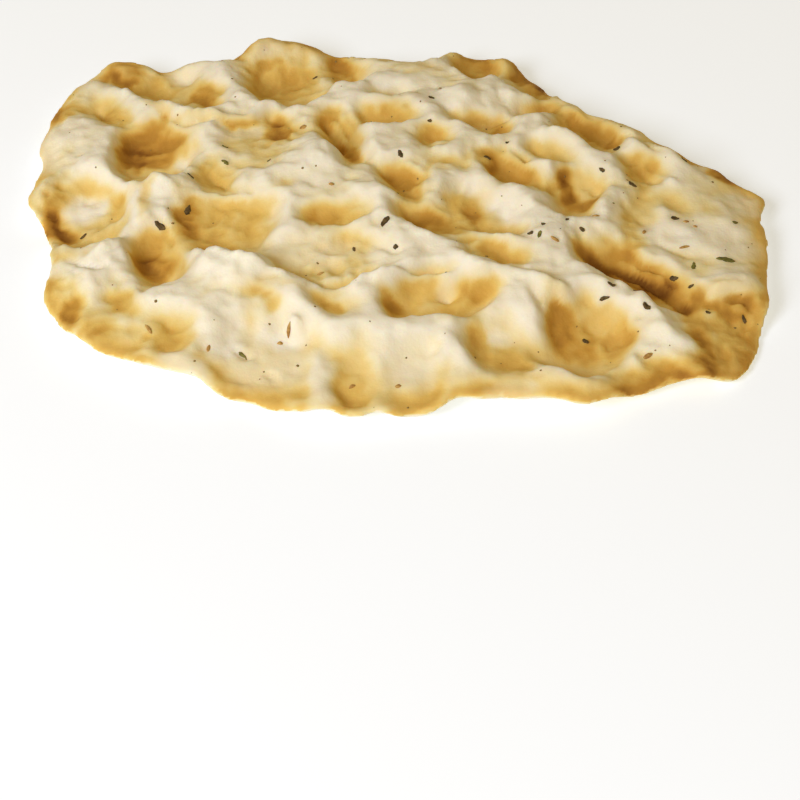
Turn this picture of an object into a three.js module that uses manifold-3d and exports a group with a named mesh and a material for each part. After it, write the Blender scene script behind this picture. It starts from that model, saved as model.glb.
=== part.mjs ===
// Stone-baked flatbread: a thin oval sheet of crisp bread with the prints of the stones it was baked on.
// Millimetres, +Z up, +X along the bread, +Y to its back edge. The origin is on the table under its middle.
// The side that lay on the stones faces up. It is one solid: herb flakes on its crust are fused to it.
import * as THREE from "three";
import { mergeVertices } from "three/addons/utils/BufferGeometryUtils.js";
import Module from "manifold-3d";

// Driving dimensions
const LENGTH = 176; // left edge to right edge
const WIDTH = 140; // front edge to back edge
const DOME = 9; // rise of the middle above the edge
const SWELL = 0.6; // unevenness of the dough between the stones
const SWELL_ACROSS = 29; // from one swelling to the next along the bread
const SWELL_BACK = 23; // and from front to back
const PUFFED_THICKNESS = 4.4; // dough that rose between the stones
const RIM_THICKNESS = 2.2; // pinched edge
const RIM_TAPER = 9; // distance from the edge over which the sheet thins to the rim
const UNDERSIDE_SHARE = 0.8; // how much of a print shows through on the underside
const RIDGE_ROUNDING = 0.35; // softness of the ridges between neighbouring prints
const REST_FLAT = 0.8; // how far the lowest bulges are flattened where they rest

// Mesh fineness
const RINGS = 28; // rings of vertices from the middle to the edge
const SECTORS = 6; // each ring has this many more vertices than the ring inside it
const OUTLINE_STEPS = 2000; // points along the outline from which the edge is read
const SAME_POINT = 1e-4; // vertices closer than this are one

// Outline of the edge, counter-clockwise from the left tip, as shares of half the length and half the width
const OUTLINE = [
  [-1.0, 0.1], [-0.91, -0.2], [-0.9, -0.5], [-0.76, -0.71], [-0.48, -0.87], [-0.25, -0.98],
  [0.02, -1.0], [0.22, -0.94], [0.5, -0.955], [0.7, -0.83], [0.79, -0.84], [0.89, -0.74],
  [0.97, -0.38], [0.985, 0.02], [0.995, 0.115], [0.955, 0.135], [0.915, 0.155], [0.885, 0.215],
  [0.835, 0.225], [0.76, 0.305], [0.61, 0.465], [0.52, 0.52], [0.45, 0.65], [0.36, 0.86],
  [0.2, 0.955], [0.09, 0.92], [-0.04, 0.89],
  [-0.33, 1.0], [-0.68, 0.87], [-0.84, 0.85], [-0.99, 0.5], [-0.98, 0.25],
];
// Small waves along the edge: how many round the bread, and how far each moves it
const EDGE_WAVES = [[29, 0.5], [47, 0.35]];

// Stone prints, row by row from the front edge to the back, left to right:
// across, back, half length, half width, turn in degrees, depth
const STONE_PRINTS = [
  [-73, -36, 7, 6, -60, 2.5], [-61, -47, 8, 6, -20, 2.5], [-50, -46, 10, 6, -45, 2.5],
  [-28, -54, 16, 14.5, -50, 4.5], [-9, -58, 11, 8, 90, 4], [3.5, -60, 10, 9, 85, 3.5],
  [24, -51, 12, 9, -28, 4.5], [43, -47, 15, 12, 46, 7], [56, -58, 10, 6, 30, 3],
  [76, -47, 14, 10, 72, 4.5],

  [-61, -35, 8.5, 5.5, -55, 2.5], [-54, -21, 12, 9, -75, 6.5], [-17, -24, 18, 10, -12, 4],
  [-15, -38, 7, 5.5, -52, 2.5], [9.5, -37, 15.5, 8, 6, 5.5], [21, -23.5, 11, 4.5, -32, 3.5],
  [54, -27, 18, 7.5, -38, 6], [67, -39, 15, 7, -66, 3.5], [61, -18, 15, 8, -36, 2],

  [-72, -3, 16, 11.5, -68, 6], [-39, -11, 15, 13, -57, 6], [-14.5, -10.5, 11, 5, 5, 3.5],
  [1.5, 2, 8.5, 5.5, -38, 4], [8.5, -11.5, 12, 6, -28, 4], [21, -8, 12.5, 9, -50, 5],
  [42, 0, 11, 8, 84, 5], [56, -7, 11, 5.5, 82, 3], [11, 7, 9, 5, 0, 1.8],

  [-58, 18, 15, 11.5, -80, 6.5], [-43, 6, 9.5, 7, -77, 4], [-35, 19, 13, 10, -72, 3],
  [-28, 26, 9, 6.5, -86, 4], [-13.5, 20.5, 15.5, 7, -72, 4.5], [27.5, 7.5, 12.5, 6, -40, 4.5],
  [8.5, 20, 5, 4, -20, 2.5], [16, 28.5, 6, 3, -12, 2.2], [23.5, 25, 7.5, 5, 88, 3.5],
  [36.5, 14, 8, 4.5, -10, 2.2], [46, 25, 12, 7, -50, 4.5], [57.5, 10.5, 9, 5, -52, 3.5],
  [59, 0.5, 11, 4, -20, 2],

  [-71, 38, 9.5, 6, -64, 3], [-57, 50, 13, 10.5, -50, 5], [-69, 55, 7, 7, -70, 3],
  [-47, 43, 9.5, 7, -82, 3.5], [-27, 50, 17, 12.5, -87, 6.5], [-43, 64, 7, 6, -85, 3],
  [-14, 55, 12, 6.5, -72, 4.5], [-2.5, 29, 8.5, 4.5, -8, 3.5], [-1, 40, 7, 3.5, -15, 2.2],
  [6, 64, 7, 6, 0, 3], [20, 58, 11, 7, -80, 4.5], [33, 50, 11, 7, -74, 4], [33.5, 34.5, 10, 5, 20, 3.5],
].map(namedSpot);
// Blisters where steam lifted the dough between the stones, in the same terms, with a height for the depth
const BLISTERS = [
  [-66, -19, 8, 5, -39, 2.5], [-55, 2, 6, 5, -81, 2.5], [-18, 10, 8, 7, -13, 2.5], [40, 20, 9, 5, -25, 2],
  [65, 16, 9, 4.5, -58, 2], [55, -42, 14, 6, -46, 2.2], [-29, 64, 16, 12, 0, 4], [-70, 60, 12, 10, 0, 4],
  [17, 66, 18, 10, 0, 2], [-36, -31, 14, 7, -10, 3], [15, 37, 8, 7, 0, 2], [75, -30, 11, 4, 8, 1.5],
].map(namedSpot);

// Herb flakes and seeds baked into the crust, from the front to the back:
// across, back, length, turn in degrees
const HERB_FLAKES = [
  [-54.5, -45.5, 3.2, -60], [-41, -51, 2, 80], [-33.5, -51, 2.6, -45], [-23.5, -46, 4, 70],
  [55, -53, 2.8, 30], [46.5, -36, 2.3, 15], [55.5, -40.5, 2.9, -60], [78, -37, 2.3, -60],
  [48, -33.5, 2.2, -5], [54, -34, 2, 0], [-17, -28.5, 2, 0], [63, -26.5, 2.2, -15], [67.5, -23.5, 2.6, 80],
  [75, -21.5, 4.4, -5], [36, -21, 2.6, -20], [66, -17.5, 3, 20], [-2.5, -16, 3.2, 60],
  [-54.5, -10.5, 3, -30], [64.5, -8, 2, 0], [-73, -6.5, 2, 20], [-48.5, -4, 2.6, 80],
  [55.5, 4, 2.2, -20], [-48.5, 6.5, 2.2, -45], [1, 9.5, 2, -60], [21.5, 11.5, 2, 0],
  [-40.5, 11.5, 2, -35], [68.5, 14, 2, 30], [53, 19.5, 2, -20], [-22.5, 26, 2, 0],
];
const FLAKE_WIDTH = 1.3;
const FLAKE_THICKNESS = 1.1;
const FLAKE_SUNK = 0.1; // how far a flake's middle lies under the crust

const CRUST_COLOUR = 0xe6cd97;

function namedSpot([x, y, long, short, turn, rise]) {
  return { x, y, long, short, turn: THREE.MathUtils.degToRad(turn), rise };
}

// Square of a point's distance from the middle of an elliptical spot, 1 on the spot's edge
function spotReach(spot, x, y) {
  const cos = Math.cos(spot.turn);
  const sin = Math.sin(spot.turn);
  const along = (cos * (x - spot.x) + sin * (y - spot.y)) / spot.long;
  const across = (cos * (y - spot.y) - sin * (x - spot.x)) / spot.short;
  return along * along + across * across;
}

// Depth that the stones pressed into the dough: flat-floored prints, with a rounded ridge where two meet
function pressedDepth(x, y) {
  let sum = 1;
  for (const print of STONE_PRINTS) {
    const depth = print.rise * (1 - spotReach(print, x, y) ** 2);
    sum += Math.exp(depth / RIDGE_ROUNDING);
  }
  return RIDGE_ROUNDING * Math.log(sum);
}

function blisterHeight(x, y) {
  let height = 0;
  for (const blister of BLISTERS) height += blister.rise * Math.max(0, 1 - spotReach(blister, x, y)) ** 2;
  return height;
}

function swelling(x, y) {
  return SWELL * Math.sin((2 * Math.PI * x) / SWELL_ACROSS) * Math.sin((2 * Math.PI * y) / SWELL_BACK);
}

function domeHeight(x, y) {
  return DOME * (1 - ((2 * x) / LENGTH) ** 2) * (1 - ((2 * y) / WIDTH) ** 2);
}

// The outline as points close together, each with its direction from the middle and its distance
function outlinePoints() {
  const corners = OUTLINE.map(([x, y]) => new THREE.Vector3((x * LENGTH) / 2, (y * WIDTH) / 2, 0));
  const curve = new THREE.CatmullRomCurve3(corners, true, "centripetal");
  const points = curve.getSpacedPoints(OUTLINE_STEPS).slice(1);
  const polar = points.map(({ x, y }) => ({ angle: Math.atan2(y, x), reach: Math.hypot(x, y) }));
  return polar.sort((a, b) => a.angle - b.angle);
}

const outline = outlinePoints();

// Distance from the middle to the edge of the rim in a direction, with the small waves of the edge
function edgeReach(angle) {
  const turned = Math.atan2(Math.sin(angle), Math.cos(angle));
  const next = Math.max(0, outline.findIndex((point) => point.angle > turned));
  let { reach } = outline[next];
  for (const [count, size] of EDGE_WAVES) reach += size * Math.sin(count * angle);
  return reach;
}

// Distance from the middle to a plain oval of the same length and width
function ovalReach(angle) {
  return 1 / Math.hypot((2 * Math.cos(angle)) / LENGTH, (2 * Math.sin(angle)) / WIDTH);
}

const firstOfRing = (ring) => (ring === 0 ? 0 : 1 + (SECTORS / 2) * ring * (ring - 1));

// Triangles of a disc whose ring number r has SECTORS * r vertices, counter-clockwise from above
function discTriangles() {
  const triangles = [];
  for (let ring = 1; ring <= RINGS; ring++) {
    const outer = (i) => firstOfRing(ring) + (i % (SECTORS * ring));
    const inner = (i) => (ring === 1 ? 0 : firstOfRing(ring - 1) + (i % (SECTORS * (ring - 1))));
    for (let sector = 0; sector < SECTORS; sector++) {
      for (let i = 0; i < ring; i++) {
        const out = sector * ring + i;
        const into = sector * (ring - 1) + i;
        triangles.push([inner(into), outer(out), outer(out + 1)]);
        if (i < ring - 1) triangles.push([inner(into), outer(out + 1), inner(into + 1)]);
      }
    }
  }
  return triangles;
}

// Plan position of the rim's outermost points, and of every vertex of the disc, ring by ring
// Inner rings are ovals, and they take on the outline towards the edge
// All are stretched and moved together so that the rim spans the length and the width exactly
function discVertices() {
  const towards = (angle, reach) => new THREE.Vector3(reach * Math.cos(angle), reach * Math.sin(angle), 0);
  const rim = [];
  const vertices = [{ point: towards(0, 0), fromEdge: WIDTH / 2 }];
  for (let ring = 1; ring <= RINGS; ring++) {
    const share = ring / RINGS;
    for (let i = 0; i < SECTORS * ring; i++) {
      const angle = (2 * Math.PI * i) / (SECTORS * ring);
      const edge = edgeReach(angle);
      const sheet = edge - RIM_THICKNESS / 2;
      const reach = share * THREE.MathUtils.lerp(ovalReach(angle), sheet, share * share);
      vertices.push({ point: towards(angle, reach), fromEdge: sheet - reach });
      if (ring === RINGS) rim.push(towards(angle, edge));
    }
  }
  const box = new THREE.Box3().setFromPoints(rim);
  const middle = box.getCenter(new THREE.Vector3());
  const size = box.getSize(new THREE.Vector3());
  const stretch = new THREE.Vector3(LENGTH / size.x, WIDTH / size.y, 0);
  rim.forEach((point) => point.sub(middle).multiply(stretch));
  vertices.forEach(({ point }) => point.sub(middle).multiply(stretch));
  return { rim, vertices };
}

// Heights of both faces at a vertex: the sheet thins to the pinched rim over its last few millimetres
function faceHeights({ point: { x, y }, fromEdge }) {
  const relief = blisterHeight(x, y) + swelling(x, y) - pressedDepth(x, y);
  const crust = domeHeight(x, y) + relief;
  const thick = PUFFED_THICKNESS + (1 - UNDERSIDE_SHARE) * relief;
  const full = THREE.MathUtils.smoothstep(fromEdge, 0, RIM_TAPER);
  const thinned = THREE.MathUtils.lerp(RIM_THICKNESS, thick, full);
  const middle = crust - thick / 2;
  return { crust: middle + thinned / 2, underside: middle - thinned / 2 };
}

// The sheet as one closed mesh: crust, underside and the rounded rim between them
function sheetGeometry() {
  const { rim, vertices } = discVertices();
  const heights = vertices.map(faceHeights);
  const table = Math.min(...heights.map(({ underside }) => underside)) + REST_FLAT;
  const overTable = (height) => Math.max(0, height - table);
  const crust = vertices.map(({ point: { x, y } }, i) => [x, y, overTable(heights[i].crust)]);
  const underside = vertices.map(({ point: { x, y } }, i) => [x, y, overTable(heights[i].underside)]);
  const rimStart = firstOfRing(RINGS);
  const rimCount = rim.length;
  const rimHeight = (i) => (crust[rimStart + i][2] + underside[rimStart + i][2]) / 2;
  const rimEdge = rim.map(({ x, y }, i) => [x, y, rimHeight(i)]);

  const undersideAt = crust.length;
  const rimAt = 2 * crust.length;
  const triangles = discTriangles();
  const facingDown = triangles.map(([a, b, c]) => [undersideAt + a, undersideAt + c, undersideAt + b]);
  triangles.push(...facingDown);
  for (let i = 0; i < rimCount; i++) {
    const next = (i + 1) % rimCount;
    const [high, highNext] = [rimStart + i, rimStart + next];
    const [low, lowNext] = [undersideAt + high, undersideAt + highNext];
    const [out, outNext] = [rimAt + i, rimAt + next];
    triangles.push([high, out, outNext], [high, outNext, highNext]);
    triangles.push([low, outNext, out], [low, lowNext, outNext]);
  }
  const points = [...crust, ...underside, ...rimEdge].flat();
  const geometry = new THREE.BufferGeometry();
  geometry.setAttribute("position", new THREE.Float32BufferAttribute(points, 3));
  geometry.setIndex(triangles.flat());
  return geometry;
}

// A flake lies flat on the crust, turned its own way and sunk almost to its middle
function flakeGeometry([x, y, length, turn], sheet) {
  const up = new THREE.Vector3(0, 0, 1);
  const above = new THREE.Vector3(x, y, LENGTH);
  const [hit] = new THREE.Raycaster(above, up.clone().negate()).intersectObject(sheet);
  const lie = new THREE.Quaternion().setFromUnitVectors(up, hit.face.normal);
  const turned = new THREE.Quaternion().setFromAxisAngle(up, THREE.MathUtils.degToRad(turn));
  const centre = hit.point.addScaledVector(hit.face.normal, -FLAKE_SUNK);
  const scale = new THREE.Vector3(length / 2, FLAKE_WIDTH / 2, FLAKE_THICKNESS / 2);
  const place = new THREE.Matrix4().compose(centre, lie.multiply(turned), scale);
  return new THREE.IcosahedronGeometry(1, 0).applyMatrix4(place);
}

const wasm = await Module();
wasm.setup();

function solidOf(geometry) {
  const bare = geometry.clone();
  bare.deleteAttribute("normal");
  bare.deleteAttribute("uv");
  const merged = mergeVertices(bare, SAME_POINT);
  return new wasm.Manifold(
    new wasm.Mesh({
      numProp: 3,
      vertProperties: new Float32Array(merged.getAttribute("position").array),
      triVerts: new Uint32Array(merged.getIndex().array),
    }),
  );
}

function geometryOf(solid) {
  const mesh = solid.getMesh();
  const geometry = new THREE.BufferGeometry();
  geometry.setAttribute("position", new THREE.BufferAttribute(mesh.vertProperties, mesh.numProp));
  geometry.setIndex(new THREE.BufferAttribute(mesh.triVerts, 1));
  geometry.computeVertexNormals();
  return geometry;
}

function flatbread() {
  const crust = new THREE.MeshStandardMaterial({ color: CRUST_COLOUR, roughness: 0.85, metalness: 0 });
  const sheet = new THREE.Mesh(sheetGeometry(), crust);
  let solid = solidOf(sheet.geometry);
  for (const flake of HERB_FLAKES) solid = solid.add(solidOf(flakeGeometry(flake, sheet)));
  const mesh = new THREE.Mesh(geometryOf(solid), crust);
  mesh.name = "flatbread";
  return mesh;
}

const part = new THREE.Group();
part.add(flatbread());

export default part;
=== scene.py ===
"""Stone-baked flatbread: browned crust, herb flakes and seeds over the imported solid, on a plain pale floor.

Metres, in the part's own frame: +X along the bread, +Y to its back edge, +Z up.
"""

import math
import random

import bmesh
import bpy
import numpy as np
from mathutils import Euler, Matrix, Vector, kdtree, noise
from mathutils.bvhtree import BVHTree


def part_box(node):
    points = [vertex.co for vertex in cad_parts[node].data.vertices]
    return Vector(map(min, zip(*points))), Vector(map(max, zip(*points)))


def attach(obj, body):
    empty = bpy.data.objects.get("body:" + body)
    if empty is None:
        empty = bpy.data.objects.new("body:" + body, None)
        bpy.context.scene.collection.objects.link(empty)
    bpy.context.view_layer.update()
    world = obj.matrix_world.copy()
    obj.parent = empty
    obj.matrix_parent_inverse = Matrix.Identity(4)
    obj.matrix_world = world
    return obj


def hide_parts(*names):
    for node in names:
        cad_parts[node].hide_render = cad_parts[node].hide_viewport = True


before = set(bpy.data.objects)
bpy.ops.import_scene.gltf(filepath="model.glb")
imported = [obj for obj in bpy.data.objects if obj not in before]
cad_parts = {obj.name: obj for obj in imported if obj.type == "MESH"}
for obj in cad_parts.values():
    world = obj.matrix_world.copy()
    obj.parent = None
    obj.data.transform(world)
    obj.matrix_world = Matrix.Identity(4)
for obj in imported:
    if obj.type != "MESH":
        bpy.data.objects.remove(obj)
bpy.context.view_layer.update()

MM = 0.001
BREAD = "flatbread"

# Camera: the picture is square, and its pixels are counted from the top left
PICTURE = 800
CAMERA_AT = Vector((0.9, -444.4, 346.8)) * MM
CAMERA_DIP = math.radians(42.05)
LENS = 106.9
SENSOR = 36.0

# Fineness of the crust's mesh, and of the maps of the bread in plan that shape and brown it
MERGE = 0.0001 * MM
FACE_SIZE = 0.77 * MM
EVENING_ROUNDS = 4
MAP_STEP = 0.5 * MM
MAP_MARGIN = 14 * MM
MAP_END = 1.001  # cells left free at a map's last row and column, so that each reading has neighbours
LEAST_WEIGHT = 1e-4
CLEAR = 100 * MM  # height above and below the bread from which it is probed

# Relief: each unevenness is a lump size and a height, or in a warp how far it shifts things sideways
WARP = ((10 * MM, 1.6 * MM), (4.5 * MM, 0.9 * MM))
LUMPS = ((9 * MM, 0.45 * MM), (4.2 * MM, 0.4 * MM), (2.0 * MM, 0.18 * MM))
FOLDS = ((6.5 * MM, 0.55 * MM), (2.8 * MM, 0.42 * MM))
TOAST_WARP = ((5 * MM, 1.0 * MM), (2 * MM, 0.7 * MM))
EDGE_LUMPS = ((7 * MM, 0.5 * MM), (2.6 * MM, 0.25 * MM))
EDGE_REACH = 6 * MM  # distance from the edge over which its lumps fade out
LEAST_LEAN = 0.2  # a normal that leans less than this moves the edge less
RIDGE_REACH = 2.4 * MM  # ridges narrower than this are drawn up
RIDGE_GAIN = 1.1
HOLLOW_REACH = 8 * MM  # a hollow is what lies below the bread's mean height over this distance
WRINKLE_REACH = 1.6 * MM  # and a wrinkle over this one
WRINKLE_DEPTH = 0.25 * MM  # depth at which a wrinkle gets its full painted shade in the crease, or painted highlight on a bump
RIM_BLEND = (0.6 * MM, 3.0 * MM)  # distance from the edge over which the relief sets in
THINNEST = 1.2 * MM
STEEP = math.cos(math.radians(42))  # inland walls are smoothed where their normals point up less than this
STEEP_ROUNDS = 6

# Seeds of the unevenness, and how far in lump sizes one seed's lumps lie from the next one's
LUMP_SEED = 1
UNDER_SEED = 2
EDGE_SEED = 3
WARP_SEEDS = (5, 6)
FOLD_SEED = 8
TOAST_SEEDS = (11, 12)
SEED_STEP = (3.7, 5.3, 7.1)

# The crust's height is taken without the solid's flakes and softened
FLAKE_MARGIN = 1  # mm left out round a flake
FLAKE_REACH = 1.5 * MM  # distance over which the crust under a flake is filled in
FACET_REACH = 0.6 * MM  # over which facets are softened
BEYOND_REACH = 3 * MM  # over which the height is carried on past the edge

# Stretches where the folds are faint: across, back, half length and half width in mm
CALM = ((-5, -60, 62, 24), (78, -4, 24, 28))
CALM_SHARE = 0.3  # of the folds' height is left there
CALM_EDGE = (0.7, 1.2)  # shares of the half sizes between which that ends

# Small dents and bubbles over the crust: how many, the least and greatest radius, and the greatest depth
DENTS = 260
DENT_RADIUS = (0.8 * MM, 2.4 * MM)
DENT_DEPTH = 0.45 * MM
DENT_STRETCH = (1, 1.8)
DENT_EDGE = (0.3, 1.1)  # shares of the radius between which a dent ends
DENT_WAYS = (-1, -1, 1)  # two dents to each bubble
DENT_SEED = 3

# Creases (negative) and small crests: height and half width in mm, then the pixels they run through
CREASE_TAPER = 0.3  # share of its length over which each end fades
CREASES = [
    (0.7, 1.3, (142, 98), (173, 112), (219, 121), (250, 121), (276, 110), (308, 104)),
    (-0.8, 1.1, (150, 110), (190, 122), (232, 129)),
    (-0.7, 1.2, (320, 110), (324, 130), (336, 150), (350, 166)),
    (-0.6, 1.0, (344, 106), (354, 122), (362, 136)),
    (0.6, 1.0, (332, 118), (340, 135), (352, 152)),
    (0.8, 0.9, (336, 291), (356, 282), (372, 275), (395, 272), (412, 281), (440, 275), (465, 268)),
    (-0.8, 0.8, (326, 289), (350, 279), (372, 268), (388, 262)),
    (-0.7, 0.8, (400, 276), (425, 272), (450, 266), (475, 262)),
    (0.5, 0.9, (300, 270), (320, 262), (350, 258)),
    (-0.6, 0.8, (505, 150), (520, 158), (536, 163)),
    (0.6, 0.8, (405, 163), (415, 171), (430, 177)),
    (-0.6, 0.9, (614, 242), (628, 256), (644, 264), (668, 270), (690, 280)),
    (0.5, 0.9, (628, 272), (650, 276), (668, 280)),
    (-0.5, 0.8, (640, 268), (664, 276), (688, 290)),
    (-0.5, 0.9, (362, 240), (388, 246), (412, 252)),
    (0.5, 0.9, (440, 246), (468, 250), (492, 244)),
    (-0.7, 0.9, (250, 262), (290, 275), (322, 287), (350, 280), (378, 270)),
    (0.6, 1.0, (190, 257), (232, 259), (262, 268), (300, 283)),
    (-0.6, 0.9, (232, 345), (243, 356), (252, 362)),
    (-0.5, 0.9, (262, 372), (276, 379)),
    (0.8, 1.4, (512, 276), (540, 281), (560, 293), (569, 312)),
    (-0.7, 1.2, (528, 284), (541, 300), (540, 318)),
    (-0.8, 1.1, (604, 262), (640, 284), (676, 302), (700, 322)),
    (-0.5, 0.8, (650, 232), (668, 248), (700, 262)),
    (0.6, 1.0, (700, 300), (730, 291), (757, 296)),
    (-0.6, 0.9, (722, 300), (742, 305), (760, 316)),
    (-0.5, 0.8, (735, 338), (746, 331), (752, 318)),
    (-0.5, 0.8, (470, 262), (505, 268), (540, 275)),
    (-0.5, 0.9, (395, 270), (430, 268), (462, 262)),
    (0.6, 1.0, (480, 150), (512, 158), (540, 168), (556, 176)),
    (-0.6, 0.9, (440, 128), (470, 122), (505, 121), (540, 118)),
    (0.6, 1.0, (398, 205), (428, 206), (452, 220)),
    (-0.5, 0.8, (60, 262), (90, 268), (118, 276)),
    (-0.6, 0.9, (96, 262), (118, 250), (140, 262)),
    (-0.5, 0.9, (150, 212), (164, 226), (180, 250)),
    (0.6, 0.9, (138, 180), (160, 182), (182, 196), (214, 202), (250, 197), (300, 194)),
    (-0.6, 0.9, (100, 100), (98, 112), (108, 124)),
    (-0.5, 0.8, (205, 172), (224, 184), (240, 196)),
    (-0.5, 0.8, (600, 130), (640, 142), (672, 160)),
    (0.5, 0.9, (612, 162), (640, 166), (664, 182), (690, 192)),
    (-0.5, 0.8, (430, 300), (446, 296), (460, 288)),
    (-0.4, 0.7, (438, 288), (450, 300)),
]
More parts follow.
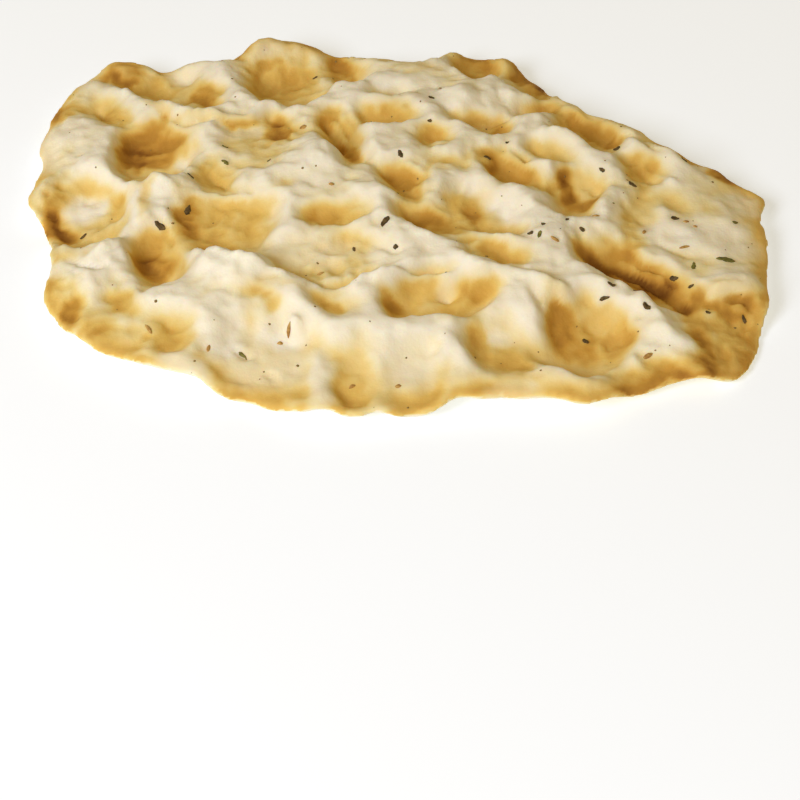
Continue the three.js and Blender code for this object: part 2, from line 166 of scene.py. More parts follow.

# Toasted patches: pixel across, pixel down, half sizes along and across in mm, turn in degrees, how brown
# Some patches are painted shade, and those on the hollows' left walls are partly toasting and partly painted
# shade
# Less than nothing is a patch that stayed pale and floury, partly a painted highlight
TOAST_EDGE = (0.5, 1.2)  # shares of the half sizes between which a patch ends
TOAST_FLOUR_SHADE_AND_HIGHLIGHT = [
    (71, 311, 3.5, 4, 0, 0.5), (95, 320, 5, 4.5, -20, 0.35), (126, 303, 5.5, 3.5, -35, 0.45),
    (165, 337, 5.5, 4, -30, 0.35), (268, 368, 12, 10, 0, 0.05), (275, 394, 11, 3, 0, 0.06),
    (352, 368, 6, 12, 0, 0.12), (347, 388, 4.5, 5, 0, 0.16), (412, 398, 7, 5, 0, 0.06),
    (438, 332, 3, 3, 0, 0.2), (476, 337, 2.5, 6, 15, 0.45), (508, 360, 8, 4, -15, 0.36),
    (535, 370, 5, 3, -10, 0.32), (492, 342, 4, 4, 0, -0.25), (557, 322, 4.5, 10, 10, 0.55),
    (575, 345, 6, 6, 0, 0.34), (612, 350, 9, 5, 15, 0.36), (555, 300, 3, 4, 0, 0.3),
    (600, 390, 10, 4, 0, 0.3), (530, 386, 14, 4, 0, 0.15), (640, 388, 10, 5, -10, 0.35),
    (665, 372, 7, 3, -25, 0.3), (700, 372, 5, 5, 0, 0.5), (60, 280, 5, 4, 0, 0.18),
    # (650, 318) is a faint painted shade on the flat with the herbs
    (650, 318, 10, 5, 0, 0.1),

    (432, 300, 11, 5, 0, 0.08), (389, 304, 4.5, 2.5, -45, 0.5), (480, 291, 6, 3.5, 20, 0.28),
    (428, 318, 10, 1.8, 4, 0.4), (470, 297, 8, 3, 25, 0.25), (446, 292, 3, 2.5, 0, -0.4),
    (328, 305, 5.5, 2, -45, 0.55), (262, 285, 3, 2, -20, 0.4), (270, 300, 2.5, 2.5, 0, 0.35),
    (245, 283, 6, 2.5, -10, 0.3), (305, 250, 12, 6, -5, -0.35), (288, 281, 6, 1.8, -20, 0.5),
    # (588, 262), (618, 278), (650, 292) and (626, 268) are painted shade in the valley at the right; (685,
    # 300), (699, 335), (728, 338) and (728, 362) are painted shade beside and on the lobe below it
    (270, 262, 7, 3, -20, 0.12), (505, 255, 9, 4, -30, 0.35), (588, 262, 6, 3, -40, 0.75),
    (618, 278, 10, 3, -32, 0.65), (650, 292, 7, 3.5, -25, 0.7), (626, 268, 13, 5, -32, 0.45),
    (685, 300, 4, 9, 25, 0.4), (699, 335, 3, 11, 8, 0.6), (728, 338, 9, 12, 0, 0.24),
    (720, 294, 11, 4.5, 8, 0.65), (728, 362, 8, 6, 0, 0.2),

    (52, 210, 2.5, 10, 0, 0.6), (62, 238, 5, 3, -30, 0.6), (85, 250, 6, 2.5, 0, 0.35),
    (103, 183, 8, 4, -10, 0.1), (118, 205, 3, 7, 0, 0.12), (88, 210, 6, 5, 0, -0.9),
    (145, 199, 2, 7, 0, 0.8), (153, 270, 6, 5, 0, 0.65), (152, 245, 4, 7, 0, 0.3),
    (225, 228, 11, 9, 0, 0.27), (184, 215, 4, 11, 0, 0.65), (205, 250, 8, 3, 0, 0.35),
    (320, 217, 6, 4, 5, 0.32), (345, 216, 6, 3, 5, 0.2), (308, 213, 2.5, 3, 0, 0.3),
    (400, 183, 6, 5, -15, 0.5), (425, 190, 6, 4, -20, 0.35), (418, 215, 7, 5, -25, 0.42),
    (445, 228, 7, 3.5, -25, 0.42), (463, 236, 5, 2.5, -20, 0.35), (467, 210, 4, 6.5, 10, 0.45),
    (486, 223, 8, 5, -25, 0.25), (565, 188, 2.6, 8, 10, 0.74), (592, 204, 5.5, 3, -10, 0.6),
    (630, 230, 3.5, 9, 10, 0.3), (633, 242, 3.5, 5, 10, 0.15), (484, 157, 4, 4, -35, 0.55),
    (512, 172, 9, 4.5, -30, 0.4), (541, 183, 6, 3.5, -30, 0.28),

    (158, 150, 10, 9, -10, 0.6), (142, 160, 6, 6, 0, 0.35), (176, 152, 1.6, 7, 25, -0.3),
    (133, 162, 5, 6, 0, 0.6), (150, 175, 8, 3, 0, 0.45), (180, 137, 6, 4.5, 0, 0.42),
    (188, 161, 4, 3.5, 0, -0.4), (205, 178, 6, 8, 0, 0.25), (197, 168, 2.5, 3, 0, 0.3),
    (243, 146, 8, 6, 0, 0.12), (279, 133, 4, 7, 0, 0.8), (284, 184, 3.5, 2.5, 0, 0.5),
    (330, 128, 6, 12, 15, 0.3), (350, 155, 2.5, 7, 25, 0.6), (322, 115, 4, 6, 20, 0.25),
    (447, 167, 8, 5, 0, 0.24), (455, 160, 7, 1.5, 12, 0.2), (430, 136, 4, 3, 0, 0.4),
    (460, 137, 5, 4, 0, 0.15), (560, 153, 8, 5, -15, 0.2), (499, 131, 2.5, 6, 0, 0.45),
    (588, 132, 10, 4.5, -35, 0.42), (614, 145, 2.5, 2.5, 0, 0.5), (642, 167, 5, 6, -35, 0.4),
    (645, 193, 14, 3.5, -20, 0.16), (714, 212, 3, 4, 0, 0.3),

    (117, 118, 6, 5, -10, 0.25), (110, 117, 3, 4, 0, 0.3), (65, 112, 5, 4.5, 30, 0.5),
    (65, 152, 2.5, 4, 0, 0.25), (124, 73, 6, 6, -30, 0.75), (165, 92, 6, 6, 0, 0.22),
    # The next three thin patches are painted shade on the lower face of a fold, under its crest
    (158, 104, 6, 1.8, -25, 0.7), (200, 114, 8, 1.6, -10, 0.75), (238, 120, 6, 1.8, 0, 0.75),
    (202, 98, 3.5, 6, 0, 0.55), (216, 100, 4, 5, 0, 0.3), (275, 88, 11, 10, 0, 0.28),
    (300, 85, 5, 8, 0, 0.15), (244, 60, 5, 6, 0, 0.6), (266, 48, 8, 6, 0, 0.52),
    (302, 46, 6, 3.5, 0, 0.6), (341, 78, 3.5, 10, 5, 0.5), (380, 99, 6, 2, 0, 0.35),
    (386, 120, 9, 3.5, 3, 0.35), (417, 67, 7, 4, 0, 0.5), (478, 65, 8, 8, 0, 0.36),
    (528, 82, 5, 11, 40, 0.45), (545, 93, 4, 4, 0, 0.35), (527, 112, 9, 5, -5, 0.4),
    (465, 117, 7, 1.8, 0, 0.4), (722, 177, 4.5, 3.5, -25, 0.6),

    # Pale floury patches, partly painted highlight where slopes face the light
    (62, 140, 7, 11, 0, -0.6), (97, 82, 5, 4, 0, -0.5), (186, 75, 6, 5, 0, -0.6),
    (226, 97, 4, 4, 0, -0.4), (262, 62, 4, 4, 0, -0.4), (186, 176, 4, 4, 0, -0.4),
    (163, 196, 3.5, 6, 0, -0.6), (240, 132, 8, 5, 0, -0.3), (447, 97, 8, 8, 0, -0.8),
    (499, 104, 6, 6, 0, -0.6), (372, 74, 8, 6, 0, -0.7), (322, 97, 6, 3, 0, -0.5),
    (318, 170, 8, 8, 0, -0.6), (385, 143, 9, 6, 0, -0.5), (457, 181, 6, 4, 0, -0.5),
    (497, 192, 9, 5, -25, -0.5), (290, 203, 6, 4, 0, -0.4), (512, 215, 7, 5, -20, -0.4),
    (402, 247, 9, 7, 0, -0.6), (290, 318, 10, 6, 0, -0.6), (410, 350, 8, 11, 0, -0.6),
    (268, 364, 11, 9, 0, -0.45), (356, 366, 5, 9, 0, -0.2), (505, 318, 6, 8, 0, -0.3),
    (512, 390, 7, 3, 0, -0.4), (322, 380, 3, 9, 0, -0.5), (220, 318, 6, 10, 0, -0.8),
    (170, 290, 8, 3, -20, -0.5), (68, 266, 7, 3, -15, -0.7), (108, 258, 7, 3, 15, -0.7),
    (200, 266, 8, 3, 0, -0.6), (180, 362, 7, 3, -30, -0.5), (516, 98, 5, 6, 0, -0.6),
    (533, 126, 6, 3, 0, -0.5), (533, 198, 9, 7, -20, -0.6), (570, 232, 8, 5, -10, -0.3),
    (668, 236, 8, 6, 0, -0.6), (703, 172, 5, 3, 0, -0.5), (742, 205, 5, 6, 0, -0.4),
    (720, 240, 10, 8, 0, -0.6), (410, 80, 10, 6, 0, -0.6), (565, 262, 9, 5, -20, -0.5),
]

# Browning, painted shade and painted highlight by height and place: depths below the mean height between
# which each sets in
DEEP = (0.3 * MM, 4 * MM)
YELLOW = (-0.8 * MM, 1.4 * MM)
HIGH = (0, 2.5 * MM)
RIDGE = (0.2 * MM, 1.4 * MM)
BULGE = (0.1 * MM, 2.5 * MM)
INLAND = (MM, 7 * MM)  # distance from the edge

# How brown the crust is, painted shade included, from 0 for cream to 1: what each adds, and the shares that
# others keep off
PALE_BROWN = 0.12
# Hollows are yellower, partly from toasting and partly as painted warm shade
YELLOW_TOAST_AND_SHADE = 0.27
# Painted shade in small creases and painted highlight on small bumps, over the whole crust
WRINKLE_PAINTED_SHADE = 0.05
EDGE_BROWN = 0.16
# Patches: toasting, and painted shade where they stand for shade
PATCH_TOAST_AND_SHADE = 0.87
SPOT_DEEP = 0.1
# and the same painted shade and highlight within the patches
PATCH_WRINKLE_PAINTED_SHADE = 0.1
SPOT_OFF_GOLD = 0.9
RIDGE_OFF_SPOT = 0.5
UNDER_BROWN = 0.12
UNDER_BULGE = 0.5
UNDER_FLOUR = 0.1

# Sizes of the crust's and the herbs' patterns
PATCH_SIZE = 11 * MM
MOTTLE_SIZE = 3.5 * MM
GRAIN_SIZE = 0.9 * MM
GRAIN_DEPTH = 0.25 * MM
STREAK_SIZE = 0.9 * MM

# Herbs and seeds baked into the crust: across, back, length and width in mm, turn in degrees
DARK_HERBS = [
    (46.5, -36, 2.3, 0.8, 15), (55.5, -40.5, 2.9, 1.3, -60), (78, -37, 2.3, 1.0, -60),
    (48, -33.5, 2.2, 0.8, -5), (54, -34, 2.0, 1.2, 0), (63, -26.5, 2.2, 1.1, -15),
    (-2.5, -16, 3.2, 1.9, 60), (-54.5, -10.5, 3.0, 1.4, -30), (64.5, -8, 1.9, 1.4, 0),
    (-73, -6.5, 2.0, 0.9, 20), (-48.5, -4, 2.6, 1.3, 80), (55.5, 4, 2.2, 1.2, -20),
    (-48.5, 6.5, 2.2, 1.0, -45), (1, 9.5, 1.9, 1.1, -60), (21.5, 11.5, 1.8, 1.2, 0),
    (68.5, 14, 2.0, 1.5, 30), (53, 19.5, 1.9, 1.4, -20), (42, -44.5, 1.5, 1.0, -20),
    (33.5, -16, 1.4, 0.9, -60), (48.5, 7.5, 1.5, 0.9, -40), (-9.5, -21.5, 1.4, 0.7, -80),
    (0, -23.5, 1.2, 1.0, 0), (30.5, -19, 1.4, 1.1, 0), (42.5, -15, 1.5, 0.8, -30),
    (69.5, -38, 1.2, 0.7, 0), (39, -13.5, 1.3, 0.7, 40), (-20.5, 55.5, 1.3, 0.7, 20),
    (8.5, 34.5, 1.5, 0.9, -10), (8, 24, 1.1, 0.7, 0), (26.5, 16.5, 0.9, 0.6, 0),
    (66.5, -30, 1.4, 0.7, 10),
]
GREEN_HERBS = [
    (-33.5, -51, 2.6, 0.9, -45), (67.5, -23.5, 2.6, 1.1, 80), (75, -21.5, 4.4, 1.6, -5),
    (-40.5, 11.5, 2.0, 0.9, -35), (78.5, -8, 1.6, 0.8, 20), (-30, 10.5, 1.0, 0.7, 0),
    (-41, 18, 1.5, 0.8, 0), (32.5, -20, 1.9, 1.0, 70),
]
SEEDS = [
    (-54.5, -45.5, 3.2, 0.9, -60), (-41, -51, 2.0, 0.9, 80), (-23.5, -46, 4.0, 0.9, 70),
    (55, -53, 2.8, 1.2, 30), (-17, -28.5, 2.0, 0.9, 0), (36, -21, 2.6, 1.0, -20),
    (66, -17.5, 3.0, 0.7, 20), (-22.5, 26, 2.0, 1.4, 0), (-25.5, -48, 1.4, 0.9, 0),
    (69, -10.5, 1.2, 0.8, 0), (-15, -2, 1.4, 0.9, 0), (-9.5, -60, 1.7, 0.9, 30),
    (0.5, -61, 1.5, 1.1, 0), (67, -9, 1.6, 0.9, 10), (57, -12.5, 1.8, 0.9, 70),
    (46, -10.5, 1.9, 0.7, 0),
]
LEAF_THICKNESS = 0.2 * MM
LEAF_LIFT = (0.12 * MM, 0.35 * MM)  # over the crust, in the middle and at most at the tips
LEAF_BEND = 0.3
LEAF_LEAN = 0.5
LEAF_RAGGED = (0.7, 1.15)
LEAF_TIP = 0.12
SEED_THICKNESS = 0.8 * MM
SEED_BEND = 0.25
SEED_SLIM = 0.45
SEED_UNEVEN = (0.88, 1.1)
SPECKS = 170
SPECKS_ON_TOP = 0.75
SPECK_SIZE = (0.35 * MM, 0.9 * MM)
SPECK_STRETCH = (0.6, 1.0)
SPECK_CORNERS = (0.7, 1.2)
SPECK_FLAT = 0.5
HERB_SEED = 7

# Floor and light, in metres and watts
FLOOR_REACH = 6
WINDOW_AT = Vector((-0.53, -0.70, 0.60))
WINDOW_SIZE = 0.4
WINDOW_POWER = 7.0
ROOM_LIGHT = 0.37


def linear(colour):
    """An sRGB hex colour as the linear colour, with alpha, that a shader socket takes."""
    channels = [int(colour[i:i + 2], 16) / 255 for i in (1, 3, 5)]
    return [c / 12.92 if c <= 0.04045 else ((c + 0.055) / 1.055) ** 2.4 for c in channels] + [1.0]


def add(tree, kind, inputs=None, stops=None, **settings):
    """A new node: settings are its properties, inputs are values or the sockets that feed it."""
    node = tree.nodes.new(kind)
    for name, value in settings.items():
        setattr(node, name, value)
    for place, (position, colour) in enumerate(stops or []):
        ramp = node.color_ramp.elements
        stop = ramp[place] if place < len(ramp) else ramp.new(position)
        stop.position = position
        stop.color = linear(colour)
    for name, value in (inputs or {}).items():
        if isinstance(value, bpy.types.NodeSocket):
            tree.links.new(value, node.inputs[name])
        else:
            node.inputs[name].default_value = value
    return node


def new_material(name):
    material = bpy.data.materials.new(name)
    material.use_nodes = True
    tree = material.node_tree
    return material, tree, tree.nodes["Principled BSDF"]


def smooth_step(value, low, high):
    share = np.clip((value - low) / (high - low), 0, 1)
    return share * share * (3 - 2 * share)


def show(name, mesh, material):
    """A mesh as an object of the scene, at the origin."""
    mesh.materials.clear()
    mesh.materials.append(material)
    piece = bpy.data.objects.new(name, mesh)
    bpy.context.scene.collection.objects.link(piece)
    return piece


# Camera


def camera():
    data = bpy.data.cameras.new("camera")
    data.lens = LENS
    data.sensor_width = SENSOR
    eye = bpy.data.objects.new("camera", data)
    eye.location = CAMERA_AT
    eye.rotation_euler = (math.pi / 2 - CAMERA_DIP, 0, 0)
    bpy.context.scene.collection.objects.link(eye)
    bpy.context.scene.camera = eye


def seen(tree, across, down):
    """The point of the bread that the camera sees at a pixel of the picture, or None beside it."""
    pixel = SENSOR / (LENS * PICTURE)
    ahead = Vector(((across - PICTURE / 2) * pixel, (PICTURE / 2 - down) * pixel, -1))
    turned = Euler((math.pi / 2 - CAMERA_DIP, 0, 0)).to_matrix() @ ahead
    return tree.ray_cast(CAMERA_AT, turned.normalized())[0]


# Maps of the bread in plan: rows run to the back, columns along it


def plan_axes():
    low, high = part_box(BREAD)
    return [np.arange(low[i] - MAP_MARGIN, high[i] + MAP_MARGIN, MAP_STEP) for i in (0, 1)]


MAP_X, MAP_Y = plan_axes()
PLAN_X, PLAN_Y = np.meshgrid(MAP_X, MAP_Y)


def face_heights(tree, upper):
    """Height of the crust or of the underside over the plan, and where the plan holds bread."""
    start = CLEAR if upper else -CLEAR
    way = Vector((0, 0, -start))
    heights = np.zeros(PLAN_X.shape)
    holds = np.zeros(PLAN_X.shape, bool)
    for row, y in enumerate(MAP_Y):
        for column, x in enumerate(MAP_X):
            hit = tree.ray_cast(Vector((x, y, start)), way)[0]
            if hit:
                heights[row, column] = hit.z
                holds[row, column] = True
    return heights, holds


def blurred(values, weight, reach):
    """Values averaged over that reach, as far as they have weight."""
    falls = [np.exp(-2 * (math.pi * reach / MAP_STEP * np.fft.fftfreq(n)) ** 2) for n in values.shape]
    bell = np.outer(*falls)

    def spread(field):
        return np.fft.ifft2(np.fft.fft2(field) * bell).real

    return spread(values * weight) / np.maximum(spread(weight * 1.0), LEAST_WEIGHT)


def read_map(values, x, y):
    """A map's values at places in plan."""
    across = np.clip((x - MAP_X[0]) / MAP_STEP, 0, len(MAP_X) - MAP_END)
    back = np.clip((y - MAP_Y[0]) / MAP_STEP, 0, len(MAP_Y) - MAP_END)
    column = across.astype(int)
    row = back.astype(int)
    across -= column
    back -= row
    front = values[row, column] * (1 - across) + values[row, column + 1] * across
    behind = values[row + 1, column] * (1 - across) + values[row + 1, column + 1] * across
    return front * (1 - back) + behind * back


def spot_distance(centre, along, across, turn):
    """Distance from a spot's middle over the plan, 1 on its elliptical edge."""
    x, y = PLAN_X - centre[0], PLAN_Y - centre[1]
    long = (math.cos(turn) * x + math.sin(turn) * y) / along
    short = (math.cos(turn) * y - math.sin(turn) * x) / across
    return np.hypot(long, short)


def line_distance(start, end):
    """Distance from a straight stretch over the plan, and the share of it passed at the nearest point."""
    run = np.array(end[:2]) - np.array(start[:2])
    x, y = PLAN_X - start[0], PLAN_Y - start[1]
    share = np.clip((x * run[0] + y * run[1]) / (run @ run), 0, 1)
    return np.hypot(x - share * run[0], y - share * run[1]), share


def uneven(places, sizes, seed):
    """Seeded smooth unevenness at places: a sum of noises, each with a lump size and a height."""
    shift = Vector([seed * step for step in SEED_STEP])
    return sum(
        height * np.array([noise.noise(Vector(place) / size + shift) for place in places])
        for size, height in sizes
    )


def plan_uneven(sizes, seed):
    places = np.stack([PLAN_X, PLAN_Y, np.zeros(PLAN_X.shape)], -1).reshape(-1, 3)
    return uneven(places, sizes, seed).reshape(PLAN_X.shape)


def plan_folds(sizes, seed):
    """Unevenness that meets in sharp little crests."""
    return sum(height - 2 * np.abs(plan_uneven([(size, height)], seed)) for size, height in sizes)


# Crust


def fine_copy():
    """The bread's solid with its facets rounded and its faces made small and even."""
    bm = bmesh.new()
    bm.from_mesh(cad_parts[BREAD].data)
    bmesh.ops.remove_doubles(bm, verts=bm.verts, dist=MERGE)
    mesh = bpy.data.meshes.new("solid")
    bm.to_mesh(mesh)
    bm.free()
    solid = bpy.data.objects.new("solid", mesh)
    bpy.context.scene.collection.objects.link(solid)
    rounding = solid.modifiers.new("rounding", "SUBSURF")
    rounding.levels = rounding.render_levels = 1
    faces = solid.modifiers.new("faces", "REMESH")
    faces.mode = "VOXEL"
    faces.voxel_size = FACE_SIZE
    faces.use_smooth_shade = True
    evening = solid.modifiers.new("evening", "SMOOTH")
    evening.iterations = EVENING_ROUNDS
    evaluated = solid.evaluated_get(bpy.context.evaluated_depsgraph_get())
    fine = bpy.data.meshes.new_from_object(evaluated)
    bpy.data.objects.remove(solid)
    return fine


def vectors(values, name):
    """A mesh's vertex positions or normals as rows of numbers."""
    rows = np.zeros(3 * len(values), np.float32)
    values.foreach_get(name, rows)
    return rows.reshape(-1, 3).astype(float)


def tree_of(mesh):
    return BVHTree.FromPolygons([v.co for v in mesh.vertices], [p.vertices for p in mesh.polygons])


def bare_crust(heights, holds):
    """The crust's heights without the flakes' lumps, carried on past the edge."""
    bare = holds.copy()
    for x, y, length, _, _ in DARK_HERBS + GREEN_HERBS + SEEDS:
        clear = (length / 2 + FLAKE_MARGIN) * MM
        bare &= spot_distance((x * MM, y * MM), clear, clear, 0) > 1
    filled = np.where(bare, heights, blurred(heights, bare, FLAKE_REACH))
    soft = blurred(filled, holds, FACET_REACH)
    return np.where(holds, soft, blurred(filled, holds, BEYOND_REACH))


def edge_distances(points, holds):
    """Distance from each point to the bread's edge in plan."""
    inner = holds[1:-1, 1:-1] & holds[:-2, 1:-1] & holds[2:, 1:-1] & holds[1:-1, :-2] & holds[1:-1, 2:]
    edge = holds.copy()
    edge[1:-1, 1:-1] &= ~inner
    rows, columns = np.nonzero(edge)
    tree = kdtree.KDTree(len(rows))
    for index, (row, column) in enumerate(zip(rows, columns)):
        tree.insert((MAP_X[column], MAP_Y[row], 0), index)
    tree.balance()
    return np.array([tree.find((x, y, 0))[2] for x, y, _ in points])


def crease_map(tree):
    """Height of the creases and small crests over the plan."""
    total = np.zeros(PLAN_X.shape)
    for height, width, *pixels in CREASES:
        places = [seen(tree, *pixel) for pixel in pixels]
        if None in places:
            continue
        nearest = np.full(PLAN_X.shape, CLEAR)
        passed = np.zeros(PLAN_X.shape)
        for stretch, ends in enumerate(zip(places, places[1:])):
            distance, share = line_distance(*ends)
            passed = np.where(distance < nearest, (stretch + share) / (len(places) - 1), passed)
            nearest = np.minimum(distance, nearest)
        taper = smooth_step(np.minimum(passed, 1 - passed), 0, CREASE_TAPER)
        total += height * MM * taper * np.exp(-((nearest / (width * MM)) ** 2))
    return total


def dent_map():
    """Height of small dents and, fewer, bubbles over the plan."""
    draw = random.Random(DENT_SEED)
    total = np.zeros(PLAN_X.shape)
    for _ in range(DENTS):
        radius = draw.uniform(*DENT_RADIUS)
        middle = draw.choice(MAP_X), draw.choice(MAP_Y)
        length = radius * draw.uniform(*DENT_STRETCH)
        distance = spot_distance(middle, length, radius, draw.uniform(0, math.pi))
        height = DENT_DEPTH * radius / DENT_RADIUS[1] * draw.choice(DENT_WAYS)
        total += height * (1 - smooth_step(distance, *DENT_EDGE))
    return total


def toast_flour_shade_and_highlight_map(tree):
    """How brown and how floury the crust is over the plan, from the patches seen in the picture, some of them
    painted shade and painted highlight.
    """
    pale = np.ones(PLAN_X.shape)
    for across, down, along, aside, turn, brown in TOAST_FLOUR_SHADE_AND_HIGHLIGHT:
        middle = seen(tree, across, down)
        if middle is None:
            continue
        distance = spot_distance(middle, along * MM, aside * MM, math.radians(turn))
        pale *= 1 - brown * (1 - smooth_step(distance, *TOAST_EDGE))
    shift = [plan_uneven(TOAST_WARP, seed) for seed in TOAST_SEEDS]
    pale = read_map(pale, PLAN_X + shift[0], PLAN_Y + shift[1])
    return np.clip(1 - pale, 0, 1), np.clip(pale - 1, 0, 1)


def smooth_walls(mesh, from_edge):
    """Evens the steep walls of the hollows, where the small relief would show as streaks."""
    bm = bmesh.new()
    bm.from_mesh(mesh)
    walls = [v for v in bm.verts if 0 < v.normal.z < STEEP and from_edge[v.index] > RIM_BLEND[1]]
    for _ in range(STEEP_ROUNDS):
        bmesh.ops.smooth_vert(
            bm, verts=walls, factor=0.5, use_axis_x=True, use_axis_y=True, use_axis_z=True,
        )
    bm.to_mesh(mesh)
    bm.free()


def small_relief(tree, upper, holds):
    """Height of the crust over the plan, with its creases, drawn-up ridges, lumps, folds and dents."""
    creased = bare_crust(upper, holds) + crease_map(tree)
    shift = [plan_uneven(WARP, seed) for seed in WARP_SEEDS]
    warped = read_map(creased, PLAN_X + shift[0], PLAN_Y + shift[1])
    ridges = warped - blurred(warped, holds, RIDGE_REACH)
    folds = plan_folds(FOLDS, FOLD_SEED)
    for across, back, along, aside in CALM:
        distance = spot_distance((across * MM, back * MM), along * MM, aside * MM, 0)
        folds *= CALM_SHARE + (1 - CALM_SHARE) * smooth_step(distance, *CALM_EDGE)
    return warped + RIDGE_GAIN * ridges + plan_uneven(LUMPS, LUMP_SEED) + folds + dent_map()


def shape_crust(mesh):
    """Gives the fine copy the bread's small relief, and returns the maps that brown it and place its painted
    shade.
    """
    tree = tree_of(mesh)
    points = vectors(mesh.vertices, "co")
    normals = vectors(mesh.vertex_normals, "vector")
    upper, holds = face_heights(tree, True)
    lower, _ = face_heights(tree, False)

    shaped = small_relief(tree, upper, holds)
    hollow = blurred(shaped, holds, HOLLOW_REACH) - shaped
    wrinkle = blurred(shaped, holds, WRINKLE_REACH) - shaped
    bulge = blurred(lower, holds, HOLLOW_REACH) - lower

    x, y = points[:, 0], points[:, 1]
    from_edge = edge_distances(points, holds)
    inland = smooth_step(from_edge, *RIM_BLEND)
    top = normals[:, 2] > 0
    under = points[:, 2] + read_map(plan_uneven(LUMPS, UNDER_SEED), x, y) * inland
    under = np.maximum(under, 0)
    over = points[:, 2] + (read_map(shaped, x, y) - points[:, 2]) * inland
    over = np.maximum(over, read_map(lower, x, y) + THINNEST * inland)
    points[:, 2] = np.where(top, over, under)
    sideways = uneven(points, EDGE_LUMPS, EDGE_SEED) * (1 - smooth_step(from_edge, 0, EDGE_REACH))
    lean = np.linalg.norm(normals[:, :2], axis=1)
    outwards = normals[:, :2] / np.maximum(lean, LEAST_LEAN)[:, None]
    points[:, :2] += outwards * sideways[:, None]
    mesh.vertices.foreach_set("co", points.astype(np.float32).ravel())
    mesh.update()
    smooth_walls(mesh, from_edge)
    return hollow, wrinkle, bulge, from_edge, top


def browning_and_painted_light(tree, points, hollow, wrinkle, bulge, from_edge, top):
    """How brown the crust is at each point, from 0 for cream to 1, painted shade included, and how floury,
    painted highlight included.
    """
    x, y = points[:, 0], points[:, 1]
    depth = read_map(hollow, x, y)
    deep = smooth_step(depth, *DEEP)
    # Wrinkle depth: painted shade in small creases, painted highlight on small bumps
    fine = np.clip(read_map(wrinkle, x, y) / WRINKLE_DEPTH, -1, 1)
    yellow = smooth_step(depth, *YELLOW)
    high = smooth_step(-depth, *HIGH)
    low = smooth_step(read_map(bulge, x, y), *BULGE)
    spots, white = (read_map(values, x, y) for values in toast_flour_shade_and_highlight_map(tree))
    inland = smooth_step(from_edge, *INLAND)
    under = spots + (UNDER_BROWN + UNDER_BULGE * low - spots) * inland
    ridge = smooth_step(-depth, *RIDGE) * inland
    # Cream to gold: yellower in hollows, partly painted shade, with painted shade in small creases
    gold = PALE_BROWN + YELLOW_TOAST_AND_SHADE * yellow + WRINKLE_PAINTED_SHADE * fine
    gold = gold * (1 - white) * (1 - SPOT_OFF_GOLD * spots) + EDGE_BROWN * (1 - inland)
    brown = PATCH_TOAST_AND_SHADE + SPOT_DEEP * deep + PATCH_WRINKLE_PAINTED_SHADE * fine
    over = spots * brown * (1 - RIDGE_OFF_SPOT * ridge) + gold
    toast_and_shade = np.clip(np.where(top, over, under), 0, 1)
    # Floury crests and pale patches, partly a painted highlight
    flour_and_highlight = np.where(top, np.maximum(high * (1 - spots) * inland, white), UNDER_FLOUR)
    return toast_and_shade, flour_and_highlight


def crust():
    mesh = fine_copy()
    maps = shape_crust(mesh)
    tree = tree_of(mesh)
    toast_and_shade, flour_and_highlight = browning_and_painted_light(tree, vectors(mesh.vertices, "co"), *maps)
    for name, values in (("toast_and_shade", toast_and_shade), ("flour_and_highlight", flour_and_highlight)):
        mesh.attributes.new(name, "FLOAT", "POINT").data.foreach_set("value", values.astype(np.float32))
    bread = show("crust", mesh, baked_dough())
    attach(bread, "root")
    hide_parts(BREAD)
    return tree


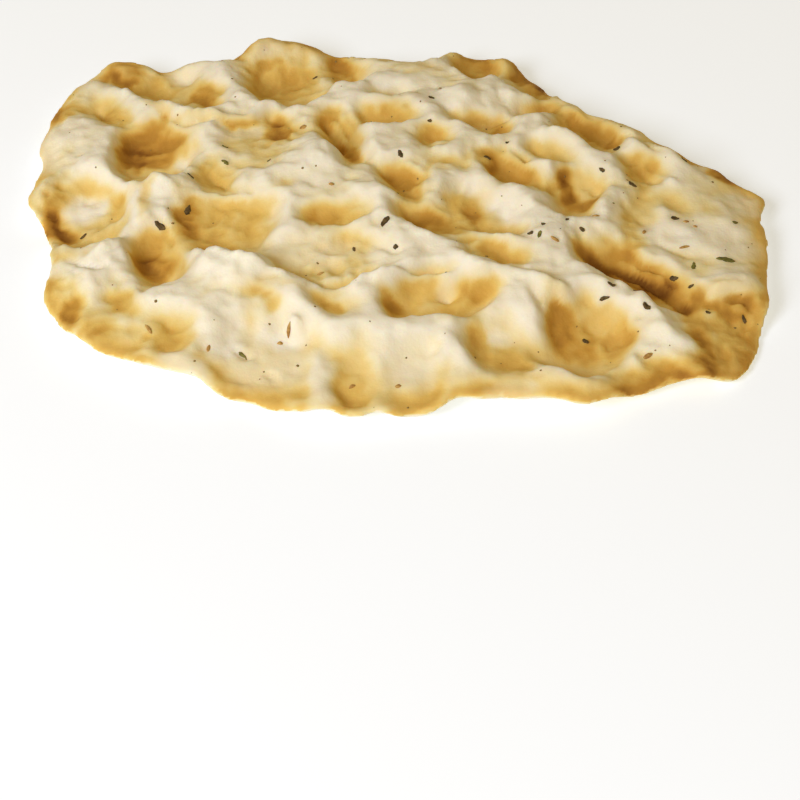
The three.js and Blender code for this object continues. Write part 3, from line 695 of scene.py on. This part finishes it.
def baked_dough():
    """Baked wheat dough: dull and floury, cream on the ridges, golden to brown where stones toasted it,
    darker with painted shade and paler with painted highlight where its attributes carry them.
    """
    material, tree, surface = new_material("baked wheat dough")
    place = add(tree, "ShaderNodeTexCoord").outputs["Object"]
    toast_and_shade = add(tree, "ShaderNodeAttribute", attribute_name="toast_and_shade").outputs["Fac"]
    flour_and_highlight = add(tree, "ShaderNodeAttribute", attribute_name="flour_and_highlight").outputs["Fac"]
    patches = add(tree, "ShaderNodeTexNoise", {"Vector": place, "Scale": 1 / PATCH_SIZE, "Detail": 5.0})
    mottle = add(tree, "ShaderNodeTexNoise", {"Vector": place, "Scale": 1 / MOTTLE_SIZE, "Detail": 4.0})
    both = add(
        tree, "ShaderNodeMix",
        {"Factor": 0.35, "A": patches.outputs["Fac"], "B": mottle.outputs["Fac"]}, data_type="FLOAT",
    )
    spread = add(
        tree, "ShaderNodeMapRange",
        {"Value": both.outputs["Result"], "From Min": 0.3, "From Max": 0.7, "To Min": -0.1, "To Max": 0.1},
    )
    brown = add(tree, "ShaderNodeMath", {0: toast_and_shade, 1: spread.outputs[0]}, operation="ADD")
    colour = add(
        tree, "ShaderNodeValToRGB", {"Fac": brown.outputs[0]},
        stops=[
            (0.0, "#f6eed8"), (0.14, "#f3e8c0"), (0.34, "#efda98"), (0.54, "#e6c46e"), (0.74, "#cf9f47"),
            (0.9, "#ac7a30"), (1.0, "#8a5a20"),
        ],
    )
    flour_and_highlight_share = add(tree, "ShaderNodeMath", {0: flour_and_highlight, 1: 0.8}, operation="MULTIPLY")
    pale = add(
        tree, "ShaderNodeMix",
        {"Factor": flour_and_highlight_share.outputs[0], "A": colour.outputs["Color"], "B": linear("#fcf8ee")},
        data_type="RGBA",
    )
    grain = add(tree, "ShaderNodeTexNoise", {"Vector": place, "Scale": 1 / GRAIN_SIZE, "Detail": 5.0})
    bump = add(
        tree, "ShaderNodeBump",
        {"Height": grain.outputs["Fac"], "Strength": 0.4, "Distance": GRAIN_DEPTH},
    )
    tree.links.new(pale.outputs["Result"], surface.inputs["Base Color"])
    tree.links.new(bump.outputs["Normal"], surface.inputs["Normal"])
    surface.inputs["Roughness"].default_value = 0.85
    surface.inputs["IOR"].default_value = 1.45
    surface.inputs["Specular IOR Level"].default_value = 0.25
    surface.inputs["Subsurface Weight"].default_value = 0.25
    surface.inputs["Subsurface Radius"].default_value = (1.0, 0.6, 0.25)
    surface.inputs["Subsurface Scale"].default_value = 2.5 * MM
    return material


# Herbs and seeds


def lying(point, normal, turn):
    """A place on the crust, with its Z along the crust's normal, turned about it."""
    lie = Vector((0, 0, 1)).rotation_difference(normal).to_matrix().to_4x4()
    return Matrix.Translation(point) @ lie @ Matrix.Rotation(turn, 4, "Z")


def leaf(bm, tree, place, length, width, draw):
    """A bit of dried leaf: a thin pointed sheet with a ragged edge that follows the crust."""
    made = bmesh.ops.create_grid(bm, x_segments=6, y_segments=3, size=1)
    bend = draw.uniform(-LEAF_BEND, LEAF_BEND)
    lean = draw.uniform(-LEAF_LEAN, LEAF_LEAN)
    for vertex in made["verts"]:
        along, across = vertex.co.x, vertex.co.y
        taper = math.sqrt(max(0.0, 1 - along * along)) * (1 + lean * along)
        ragged = draw.uniform(*LEAF_RAGGED)
        x = along * length / 2
        y = (across * max(taper, LEAF_TIP) * ragged + bend * (along * along - 0.5)) * width / 2
        point, normal = tree.find_nearest(place @ Vector((x, y, 0)))[:2]
        lift = LEAF_LIFT[0] + (LEAF_LIFT[1] - LEAF_LIFT[0]) * along * along * draw.random()
        vertex.co = point + lift * normal
    faces = list({face for vertex in made["verts"] for face in vertex.link_faces})
    bmesh.ops.solidify(bm, geom=faces, thickness=LEAF_THICKNESS)


def husk(bm, place, length, width, thickness, draw):
    """A seed, stalk or crumb of herb: a small bent spindle with uneven sides."""
    made = bmesh.ops.create_icosphere(bm, subdivisions=2, radius=1)
    bend = draw.uniform(-SEED_BEND, SEED_BEND)
    for vertex in made["verts"]:
        along = vertex.co.x
        slim = 1 - SEED_SLIM * along * along
        side = draw.uniform(*SEED_UNEVEN)
        x = along * length / 2
        y = vertex.co.y * slim * side * width / 2 + bend * (along * along - 0.5) * width
        z = vertex.co.z * slim * side * thickness / 2
        vertex.co = place @ Vector((x, y, z))


def speck(bm, place, size, draw):
    """A crumb of herb dust: a flattened ball with its corners drawn in and out."""
    made = bmesh.ops.create_icosphere(bm, subdivisions=1, radius=0.5)
    stretch = draw.uniform(*SPECK_STRETCH)
    for vertex in made["verts"]:
        corner = vertex.co * draw.uniform(*SPECK_CORNERS) * size
        vertex.co = place @ Vector((corner.x, corner.y * stretch, corner.z * SPECK_FLAT))


def scattered(name, bm, material):
    """The gathered bits of one kind as one piece that rides on the bread."""
    bmesh.ops.recalc_face_normals(bm, faces=bm.faces)
    for face in bm.faces:
        face.smooth = True
    mesh = bpy.data.meshes.new(name)
    bm.to_mesh(mesh)
    bm.free()
    piece = show(name, mesh, material)
    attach(piece, "root")
    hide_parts(BREAD)


def herbs_and_seeds(tree):
    draw = random.Random(HERB_SEED)
    dark, green, seeds, dust = (bmesh.new() for _ in range(4))
    fall = Vector((0, 0, -1))
    for bm, rows in ((dark, DARK_HERBS), (green, GREEN_HERBS), (seeds, SEEDS)):
        for x, y, length, width, turn in rows:
            point, normal = tree.ray_cast(Vector((x * MM, y * MM, CLEAR)), fall)[:2]
            place = lying(point, normal, math.radians(turn))
            if bm is seeds:
                husk(bm, place, length * MM, width * MM, SEED_THICKNESS, draw)
            else:
                leaf(bm, tree, place, length * MM, width * MM, draw)
    low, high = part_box(BREAD)
    made = 0
    while made < SPECKS:
        x, y = draw.uniform(low[0], high[0]), draw.uniform(low[1], high[1])
        side = 1 if draw.random() < SPECKS_ON_TOP else -1
        point, normal = tree.ray_cast(Vector((x, y, side * CLEAR)), fall * side)[:2]
        if point is None or point.z < SPECK_SIZE[1]:
            continue
        size = SPECK_SIZE[0] + draw.random() ** 2 * (SPECK_SIZE[1] - SPECK_SIZE[0])
        speck(dust, lying(point, normal, draw.uniform(0, math.tau)), size, draw)
        made += 1
    scattered("dark_herbs", dark, dry_leaf("dark dried herb", "#463923", "#75613d"))
    scattered("green_herbs", green, dry_leaf("green dried herb", "#625f2b", "#8b8645"))
    scattered("seeds", seeds, dry_leaf("seed husk", "#a5793f", "#cda866"))
    scattered("herb_dust", dust, dry_leaf("herb dust", "#7a6438", "#a58a55"))


def dry_leaf(name, dark, light):
    """Dried leaf or husk: dull, with darker and lighter streaks."""
    material, tree, surface = new_material(name)
    place = add(tree, "ShaderNodeTexCoord").outputs["Object"]
    streaks = add(tree, "ShaderNodeTexNoise", {"Vector": place, "Scale": 1 / STREAK_SIZE, "Detail": 3.0})
    colour = add(
        tree, "ShaderNodeValToRGB", {"Fac": streaks.outputs["Fac"]}, stops=[(0.35, dark), (0.65, light)],
    )
    tree.links.new(colour.outputs["Color"], surface.inputs["Base Color"])
    surface.inputs["Roughness"].default_value = 0.75
    surface.inputs["Specular IOR Level"].default_value = 0.25
    return material


# Stage


def stage():
    bm = bmesh.new()
    bmesh.ops.create_grid(bm, x_segments=1, y_segments=1, size=FLOOR_REACH)
    mesh = bpy.data.meshes.new("floor")
    bm.to_mesh(mesh)
    bm.free()
    show("floor", mesh, white_paper())


def white_paper():
    """Matt white paper lit from below as well, so that it stays near white."""
    material, _, surface = new_material("matt white paper")
    surface.inputs["Base Color"].default_value = linear("#e0eaff")
    surface.inputs["Roughness"].default_value = 0.9
    surface.inputs["Emission Color"].default_value = linear("#ffffff")
    surface.inputs["Emission Strength"].default_value = 0.4
    return material


def studio():
    """A soft window from the front left, and warm light from all round."""
    data = bpy.data.lights.new("window", "AREA")
    data.size = WINDOW_SIZE
    data.energy = WINDOW_POWER
    data.color = linear("#fdfdff")[:3]
    window = bpy.data.objects.new("window", data)
    window.location = WINDOW_AT
    window.rotation_euler = (-WINDOW_AT).to_track_quat("-Z", "Y").to_euler()
    bpy.context.scene.collection.objects.link(window)
    world = bpy.data.worlds.new("studio")
    world.use_nodes = True
    sky = world.node_tree.nodes["Background"]
    sky.inputs["Color"].default_value = linear("#ffe5a8")
    sky.inputs["Strength"].default_value = ROOM_LIGHT
    bpy.context.scene.world = world
    bpy.context.scene.view_settings.view_transform = "Standard"


camera()
herbs_and_seeds(crust())
stage()
studio()
